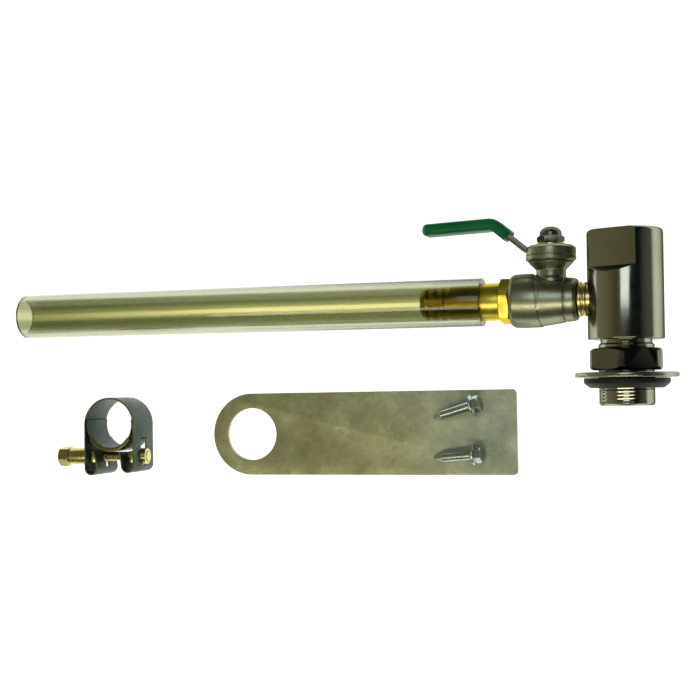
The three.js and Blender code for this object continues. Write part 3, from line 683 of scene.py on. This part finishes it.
def build_sleeve(place):
    """The dipped vinyl sleeve: closed and rounded at the tip, open with a lip at the other end."""
    start = Vector(LEVER_BEND).lerp(Vector(LEVER_ROOT), 0.45)
    line = finer(bent([tuple(start), LEVER_BEND, (-59.2, 33.8)], 6, 14), 0.8)
    scales = []
    for i in range(len(line)):
        from_tip = sum((Vector(b) - Vector(a)).length for a, b in zip(line[i:], line[i + 1:]))
        tip = math.sqrt(max(0.0, 1 - (1 - min(1, from_tip / 2.7)) ** 2))
        wide = math.sqrt(max(0.0, 1 - (1 - min(1, from_tip / 4.2)) ** 2))
        from_lip = sum((Vector(b) - Vector(a)).length for a, b in zip(line[:i], line[1:i + 1]))
        lip = 1 + 0.04 * math.exp(-((from_lip - 0.6) / 0.7) ** 2) - 0.10 * math.exp(-(from_lip / 0.4) ** 2)
        scales.append((max(0.12, tip) * lip, max(0.3, wide) * lip))
    sleeve = sweep("lever_sleeve_vinyl", line, box_section(5.4, 12.4, 2.2), place, scales)
    hollow_line = bent([LEVER_ROOT, LEVER_BEND, (-57, 33.9)], LEVER_CURVE)
    hollow = sweep("cutter", hollow_line, box_section(3.2, 9.6, 0.6), place)
    carve(sleeve, "DIFFERENCE", hollow)
    finish_piece(sleeve, "lever_sleeve", "lever", green_vinyl, math.radians(48))


# ---- The nipple, the outlet body and what is screwed on it
def build_nipple():
    profile = [
        (-24.3, 4.6), (-24.3, 6.5, 0.3), (-20.7, 6.5, 0.1), (-20.7, 7, 0.2), (-20.2, 7.7, 0.3),
        (-19.1, 7.7, 0.3), (-18.7, 7, 0.2), (-18.2, 7, 0.2), (-17.8, 7.6, 0.3), (-17, 7.6, 0.3),
        (-16.6, 7, 0.2), (-8.9, 7, 0.4), (-8.9, 4.6),
    ]
    obj = lathe("nipple_metal", rounded(profile, 0.2), WAND @ ALONG_X, 80)
    finish_piece(obj, "brass_nipple", "wand", dull_brass)


SPIGOT_THREAD = (-46.6, -20.9, 1.5, 0.13)
FLAT_TURNS = (-21, 159)  # degrees about the spigot's axis
FLAT_OUT, FLAT_FOOT = 12.3, 13.6  # a wrench flat's distance from that axis, and the height of its lower edge
SLOPE_OUT, SLOPE_FOOT = 17.6, 10.2  # where the slope below it ends
CLEAR_OUT, CLEAR_UP = 30, 40  # outside the body


def build_outlet():
    place = WAND @ ALONG_Y
    profile = [
        (-47.3, 8.4, 0.3), (-47.3, 11.2, 0.3), (-46.4, 12.1, 0.2), (-20.6, 12.1, 0.1), (-20, 11.2, 0.2),
        (-18.2, 11.2, 0.3), (-18.2, 16.6, 0.5), (30.1, 16.6, 1.9), (30.1, 0), (6, 0), (6, 8.4, 0.4),
    ]
    body = lathe("outlet_metal", rounded(profile, steps=6), place, 144, SPIGOT_THREAD)
    outline = [
        (FLAT_OUT, CLEAR_UP), (FLAT_OUT, FLAT_FOOT), (SLOPE_OUT, SLOPE_FOOT), (CLEAR_OUT, SLOPE_FOOT),
        (CLEAR_OUT, CLEAR_UP),
    ]
    for turn in FLAT_TURNS:
        seat = WAND @ Matrix.Rotation(math.radians(turn), 4, "Y")
        flip = seat @ Matrix.Rotation(-math.pi / 2, 4, "Y")
        carve(body, "DIFFERENCE", extrude("cutter", outline, -20, 20, flip))
    carve(body, "DIFFERENCE", rod(7.3, -20, -8.6, WAND @ ALONG_X), rod(4.6, -12, 0, WAND @ ALONG_X))
    soften(body, 0.3, 3, 24)
    finish_piece(body, "outlet_body", "wand", chrome, math.radians(26))


def build_fasteners():
    place = WAND @ ALONG_Y
    nut = hexagon("lock_nut_metal", 30, -31.8, -22.2, place, math.pi / 2, 0.1, 3.2)
    carve(nut, "DIFFERENCE", rod(12.4, -40, -10, place, FINE))
    soften(nut, 0.3, 3, 30)
    finish_piece(nut, "lock_nut", "locknut", dark_chrome)

    washer = lathe(
        "flange_washer_metal",
        rounded([(-34.9, 12.5), (-34.9, 22.5, 0.5), (-32.7, 22.5, 0.8), (-32.7, 12.5)], 0.3),
        place,
    )
    finish_piece(washer, "flange_washer", "washers", washer_steel)

    gasket_profile = [
        (-39.6, 12.5, 0.5), (-39.6, 15.9, 1.6), (-37.4, 18.7, 1.2), (-35.2, 18.7, 0.5), (-35.2, 12.5, 0.3),
    ]
    gasket = lathe("gasket_rubber", rounded(gasket_profile, steps=6), place)
    finish_piece(gasket, "rubber_gasket", "washers", black_rubber)


# ---- The clamp
BAND_R, BAND_WIDTH = 13.1, 22.4
LOOP_R, LOOP_X = 3.2, 9.9
PLAIN_Y, THREADED_Y = -21.3, -20.1
BOLT_Y, MIDDLE = -15.9, 11.2  # the bolt's place; the middle of the band's width, above the floor
BOLT = CLAMP @ Matrix.Translation((0, BOLT_Y * MM, MIDDLE * MM)) @ ALONG_X


def build_band():
    line = bent([(-8.6, -12.6), (-7.4, -17)], 1) + arc((-LOOP_X, PLAIN_Y), LOOP_R, 12, -180, 20)
    line += arc((0, 0), BAND_R, 180, 0, 60)
    line += arc((LOOP_X, THREADED_Y), LOOP_R, 0, -172, 20)
    line += [(6.4, -17.4), (5.6, -13.8)]
    section = box_section(0.8, BAND_WIDTH, 0.35, 0)
    band = sweep("band_metal", finer(line, 2.0), section, CLAMP)
    slot = block((BAND_R - 1, -13.4, MIDDLE - 3.2), (BAND_R + 1, -6.6, MIDDLE + 3.2), CLAMP)
    square = block((-LOOP_X, -21, MIDDLE - 2), (0, -18.4, MIDDLE + 2), CLAMP)
    carve(band, "DIFFERENCE", rod(2.9, -20, 20, BOLT), rod(4.3, BAND_R - 1, 20, BOLT), slot, square)
    finish_piece(band, "clamp_band", "clamp", dark_sheet)


def build_bridge():
    width, lift = BAND_WIDTH - 1.2, 0.6
    section = box_section(0.6, width, 0.28, lift)
    bridge = sweep("bridge_metal", arc((0, 0), 12.1, 168, 372, 56), section, CLAMP)
    saddle = sweep("saddle", arc((0, 0), 12.3, 214, 326, 40), box_section(2, width, 0.6, lift), CLAMP)
    carve(bridge, "UNION", saddle)
    finish_piece(bridge, "clamp_bridge", "clamp", dark_sheet)


def build_trunnions():
    height = 15
    section = box_section(3, height, 0.7, MIDDLE - height / 2)
    for side, node in ((-1, "trunnion_plain"), (1, "trunnion_threaded")):
        x = side * 10.6
        barrel = sweep(node + "_metal", [(x, BOLT_Y - 2.8), (x, BOLT_Y + 2.8)], section, CLAMP)
        if side > 0:
            boss_profile = rounded([(x, 0), (x, 3.9), (15.8, 3.9, 0.5), (15.8, 0)], 0.1)
            carve(barrel, "UNION", lathe("boss", boss_profile, BOLT, SMALL))
        carve(barrel, "DIFFERENCE", rod(2.6, -20, 20, BOLT))
        soften(barrel, 0.25, 2, 50)
        finish_piece(barrel, node, "clamp", yellow_zinc)


def build_clamp_bolt():
    bolt_profile = rounded([(-30, 0), (-30, 2.3), (16.2, 2.3, 0.5), (16.2, 0)], 0.1)
    bolt = lathe("clamp_bolt_metal", bolt_profile, BOLT, SMALL, (-11, 16, 0.8, 0.28))
    head = hexagon("head", 9, -32, -26.6, BOLT, math.radians(14), 0.1)
    carve(bolt, "UNION", head)
    finish_piece(bolt, "clamp_bolt", "clamp_bolt", yellow_zinc)
    spacer_profile = rounded([(-26.3, 2.6), (-26.3, 4.2, 0.5), (-13.8, 4.2, 0.5), (-13.8, 2.6)], 0.2)
    spacer = lathe("bolt_spacer_metal", spacer_profile, BOLT, SMALL)
    finish_piece(spacer, "bolt_spacer", "clamp_bolt", yellow_zinc)


# ---- The plate and its screws
PLATE_HALF, PLATE_REACH, PLATE_THICK, PLATE_HOLE = 20, 131.4, 3, 12.8


def build_plate():
    outline = arc((0, 0), PLATE_HALF, 90, 270, 64)
    outline += arc((PLATE_REACH - 2, -PLATE_HALF + 2), 2, -90, 0, 6)
    outline += arc((PLATE_REACH - 2, PLATE_HALF - 2), 2, 0, 90, 6)
    plate = extrude("plate_metal", outline, 0, PLATE_THICK, PLATE)
    carve(plate, "DIFFERENCE", rod(PLATE_HOLE, -1, 4, PLATE, FINE))
    soften(plate, 0.35, 3, 40)
    finish_piece(plate, "mounting_plate", "plate", galvanised)


def build_screws():
    length, head_height, flange, shank, point = 24.8, 4.2, 5.0, 2.3, 5.0
    head_from = length - head_height
    tilt = math.atan2(flange - shank, head_from - point)
    lift = PLATE_THICK + 0.3 + shank * math.cos(tilt) - point * math.sin(tilt)
    for node, x, y, turn in (("screw_1", 91.8, 7, 16), ("screw_2", 91.6, -12, 5)):
        place = (
            PLATE
            @ Matrix.Translation((x * MM, y * MM, lift * MM))
            @ Matrix.Rotation(math.radians(turn), 4, "Z")
            @ Matrix.Rotation(-tilt, 4, "Y")
            @ ALONG_X
        )
        shaft = [
            (0, 0), (0.4, 0.35), (point, shank), (head_from - 1.2, shank), (head_from - 0.3, 2.6, 0.4),
            (head_from, 4.7, 0.1), (head_from + 0.2, flange, 0.2), (head_from + 0.9, flange - 0.15, 0.3),
            (head_from + 1.3, 3.6, 0.4), (head_from + 1.3, 0),
        ]
        thread = (point - 0.4, head_from - 1.4, 1.6, 0.7)
        screw = lathe(node + "_metal", rounded(shaft, 0.05), place, SMALL, thread)
        head = hexagon("head", 7.2, head_from + 1, length, place, math.radians(20), 0.12)
        carve(screw, "UNION", head)
        finish_piece(screw, node, node, screw_zinc)


build_tube()
build_barb()
build_valve()
build_handle()
build_nipple()
build_outlet()
build_fasteners()
build_band()
build_bridge()
build_trunnions()
build_clamp_bolt()
build_plate()
build_screws()

# The CAD's own valve parts stay, with a material each.
for node, material in {
    "valve_ball": chrome,
    "valve_stem": brass,
    "ball_seat_inlet": white_seal,
    "ball_seat_outlet": white_seal,
    "stem_thrust_washer": white_seal,
    "stem_packing": white_seal,
}.items():
    frame["nodes"][node].data.materials.clear()
    frame["nodes"][node].data.materials.append(material)


# ---- Floor, light and camera
FLOOR_SIZE, FLOOR_DROP = 60, 0.0002  # metres; the drop keeps the floor from touching what lies on it


def build_floor():
    bpy.ops.mesh.primitive_plane_add(size=FLOOR_SIZE, location=(0, 0, -FLOOR_DROP))
    floor = bpy.context.object
    floor.name = "floor"
    material, tree, shader, coords, add = new_material("pale_floor")
    mapping = stretched(add, coords, (1.6, 1.6, 1.6))
    falloff = add("ShaderNodeTexGradient", {"gradient_type": "SPHERICAL"})
    tree.links.new(mapping, falloff.inputs["Vector"])
    glow = ramp(add, falloff.outputs["Fac"], [(0.0, (0.34, 0.34, 0.33)), (0.62, (1.0, 1.0, 1.0))])
    tone = ramp(add, noise(add, coords, 3.0, 2.0), [(0.0, (0.90, 0.90, 0.89)), (1.0, (0.92, 0.92, 0.91))])
    tree.links.new(tone, shader.inputs["Base Color"])
    tree.links.new(glow, shader.inputs["Emission Color"])
    shader.inputs["Emission Strength"].default_value = 0.92
    shader.inputs["Roughness"].default_value = 0.9
    shader.inputs["Specular IOR Level"].default_value = 0.1
    floor.data.materials.append(material)


def area_light(name, target, direction, distance, size, power, colour):
    """A rectangular softbox that looks at the target from the given direction. All lengths are in metres."""
    lamp = bpy.data.lights.new(name, "AREA")
    lamp.shape = "RECTANGLE"
    lamp.size, lamp.size_y = size
    lamp.energy = power
    lamp.color = colour
    obj = bpy.data.objects.new(name, lamp)
    bpy.context.scene.collection.objects.link(obj)
    away = Vector(direction).normalized()
    obj.location = Vector(target) + away * distance
    side = Vector((1, 0, 0))
    up = away.cross(side).normalized()
    side = up.cross(away)
    obj.rotation_euler = Matrix((side, up, away)).transposed().to_euler()
    return obj


COOL_LEAN, WARM_LEAN = math.radians(17), math.radians(26)  # the softboxes' leans from straight above


def build_light():
    high = cad_bounds[1]
    outlet = Vector((high[0] * 0.85, 0.02, 0.02))
    cool_direction = (0.0, math.tan(COOL_LEAN), 1)
    warm_direction = (0.05, -math.tan(WARM_LEAN), 1)
    area_light("cool_softbox", outlet, cool_direction, 1.1, (0.46, 0.46), 1.4, (0.84, 0.93, 1.0))
    area_light("warm_softbox", (0, 0, 0), warm_direction, 1.3, (1.6, 0.26), 7.0, (1.0, 0.92, 0.66))
    build_world()


def build_world():
    """The surroundings: warm and brighter towards -X, and dark towards +X, but for a pale patch at its end."""
    world = bpy.data.worlds.new("studio")
    bpy.context.scene.world = world
    world.use_nodes = True
    tree = world.node_tree
    coords = tree.nodes.new("ShaderNodeTexCoord")
    parts = tree.nodes.new("ShaderNodeSeparateXYZ")
    tree.links.new(coords.outputs["Generated"], parts.inputs["Vector"])
    shade = tree.nodes.new("ShaderNodeValToRGB")
    spans = tree.nodes.new("ShaderNodeMapRange")
    spans.inputs["From Min"].default_value = -1
    tree.links.new(parts.outputs["X"], spans.inputs["Value"])
    tree.links.new(spans.outputs["Result"], shade.inputs["Fac"])
    set_stops(shade, [
        (0.0, (0.30, 0.28, 0.17)), (0.25, (0.11, 0.10, 0.05)), (0.48, (0.075, 0.068, 0.035)),
        (0.60, (0.006, 0.011, 0.010)), (0.86, (0.006, 0.012, 0.010)), (0.97, (0.12, 0.13, 0.10)),
    ])
    tree.links.new(shade.outputs["Color"], tree.nodes["Background"].inputs["Color"])
    bpy.context.scene.view_settings.view_transform = "Standard"


# The camera's values come from a fit to edges in the photo. The distance and the target are in millimetres.
FOCAL_PIXELS, FRAME_PIXELS, SENSOR = 1270.7, 700, 36.0
CAMERA_TILT_X, CAMERA_TILT_Y, CAMERA_ROLL = math.radians(16.27), math.radians(-1.87), math.radians(-0.575)
CAMERA_DISTANCE = 617.2
CAMERA_FROM_PLATE = Vector((50.1, 40.68, 0))


def build_camera():
    data = bpy.data.cameras.new("camera")
    data.sensor_width = SENSOR
    data.lens = FOCAL_PIXELS / FRAME_PIXELS * SENSOR
    data.clip_start = 0.01
    obj = bpy.data.objects.new("camera", data)
    bpy.context.scene.collection.objects.link(obj)
    back = Vector(
        (
            math.sin(CAMERA_TILT_X) * math.cos(CAMERA_TILT_Y),
            math.sin(CAMERA_TILT_Y),
            math.cos(CAMERA_TILT_X) * math.cos(CAMERA_TILT_Y),
        )
    )
    right = Vector((0, 1, 0)).cross(back).normalized()
    up = back.cross(right)
    turned_right = right * math.cos(CAMERA_ROLL) + up * math.sin(CAMERA_ROLL)
    turned_up = up * math.cos(CAMERA_ROLL) - right * math.sin(CAMERA_ROLL)
    matrix = Matrix((turned_right, turned_up, back)).transposed().to_4x4()
    target = PLATE.translation / MM + CAMERA_FROM_PLATE
    target.z = 0
    matrix.translation = (target + back * CAMERA_DISTANCE) * MM
    obj.matrix_world = matrix
    bpy.context.scene.camera = obj


build_floor()
build_light()
build_camera()
